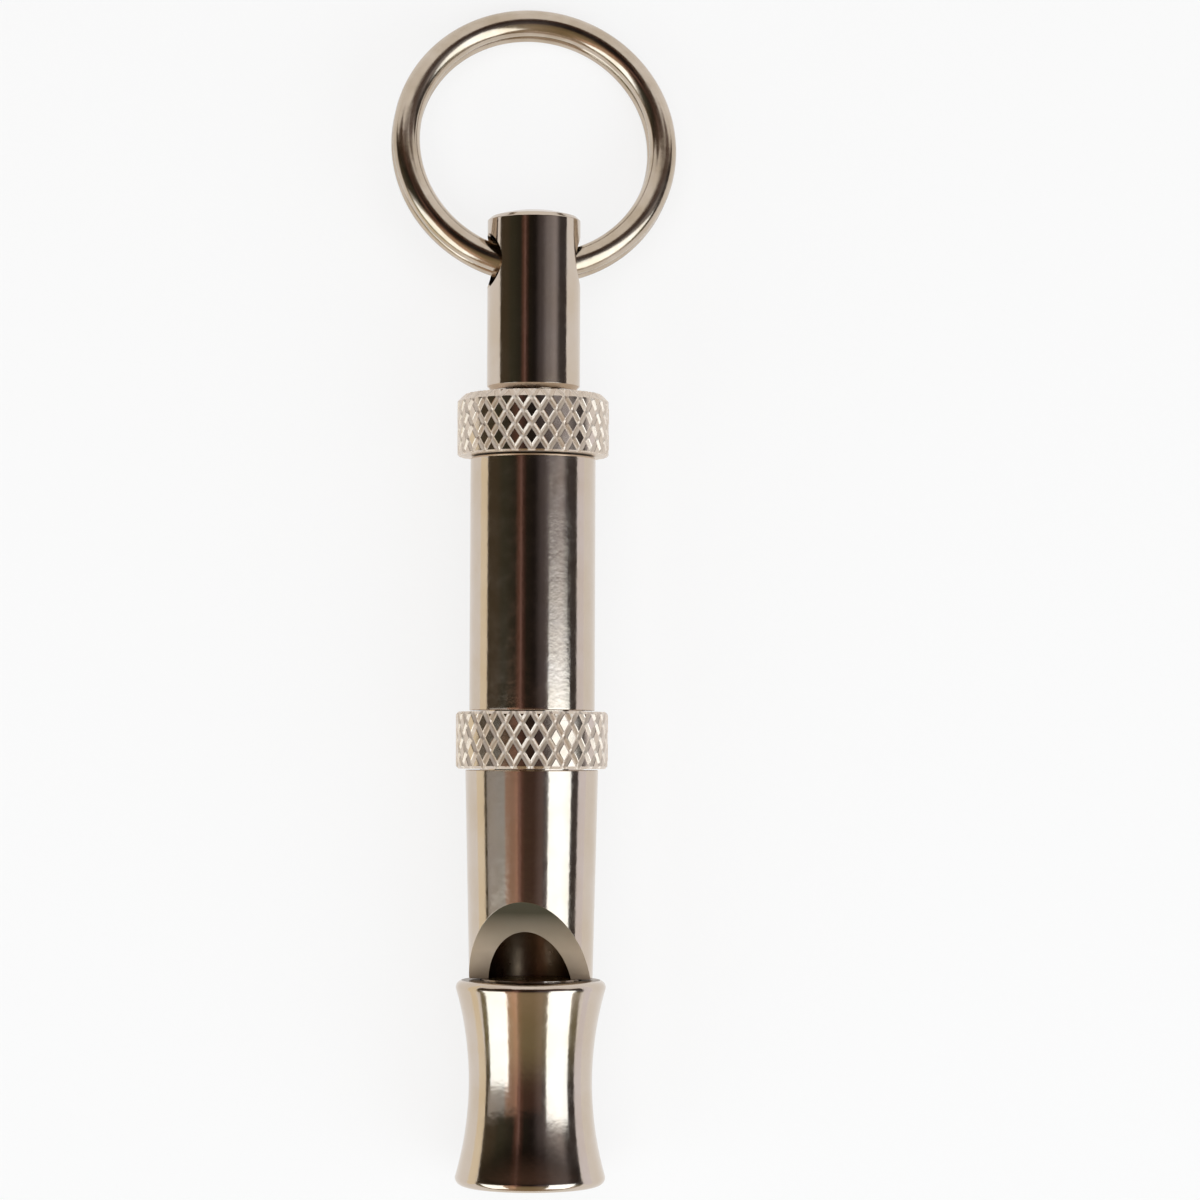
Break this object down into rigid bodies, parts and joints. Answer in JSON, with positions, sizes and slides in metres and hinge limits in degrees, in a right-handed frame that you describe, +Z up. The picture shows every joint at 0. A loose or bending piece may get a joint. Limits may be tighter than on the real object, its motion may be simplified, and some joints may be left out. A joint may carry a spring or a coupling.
{
  "type": "dog whistle",
  "caption": "Pitch-adjustable dog whistle: waisted mouthpiece, slanted sound window, knurled collar and lock nut, screwed stem with a piston inside, hung on a split key ring.",
  "frame": {"origin": "centre of the bounding box's base, on the surface that the whistle lies on", "axes": "+Y along the whistle from the mouthpiece to the ring, +Z up out of the sound window's side, +X to the right seen from above with the ring away"},
  "size_m": [0.0239, 0.0984, 0.0126],
  "materials": {
    "nickel": "bright nickel plate on turned brass",
    "knurled_nickel": "bright nickel plate on a rolled knurl",
    "bare_brass": "turned, unplated",
    "ring_nickel": "nickel plate on spring steel"
  },
  "bodies": {
    "barrel": {"mouthpiece": "nickel", "windway_plug": "bare_brass", "window_barrel": "nickel", "grip_collar": "knurled_nickel", "upper_sleeve": "nickel"},
    "lock_nut": {"lock_nut": "knurled_nickel"},
    "piston": {"piston": "bare_brass"},
    "adjuster": {"tuning_stem": "nickel", "tuning_screw": "nickel"},
    "split_ring": {"split_ring": "ring_nickel"}
  },
  "joints": [
    {"name": "lock_nut_turn", "type": "hinge", "parent": "barrel", "child": "lock_nut", "pos_m": [0, 0.0135, 0.0063], "axis": [0, 1, 0], "range_deg": [0, 150]},
    {"name": "piston_travel", "type": "slide", "parent": "barrel", "child": "piston", "axis": [0, 1, 0], "range_m": [0, 0.0088]},
    {"name": "tuning_turn", "type": "hinge", "parent": "piston", "child": "adjuster", "pos_m": [0, 0.0237, 0.0063], "axis": [0, 1, 0], "range_deg": [0, 3960]},
    {"name": "ring_swing", "type": "hinge", "parent": "adjuster", "child": "split_ring", "pos_m": [0, 0.02711, 0.0063], "axis": [0.9781, 0, -0.2079], "range_deg": [-143, 170]}
  ],
  "couplings": [
    {"joint": "piston_travel", "follows": "tuning_turn", "m_per_rad": 0.00012732}
  ]
}
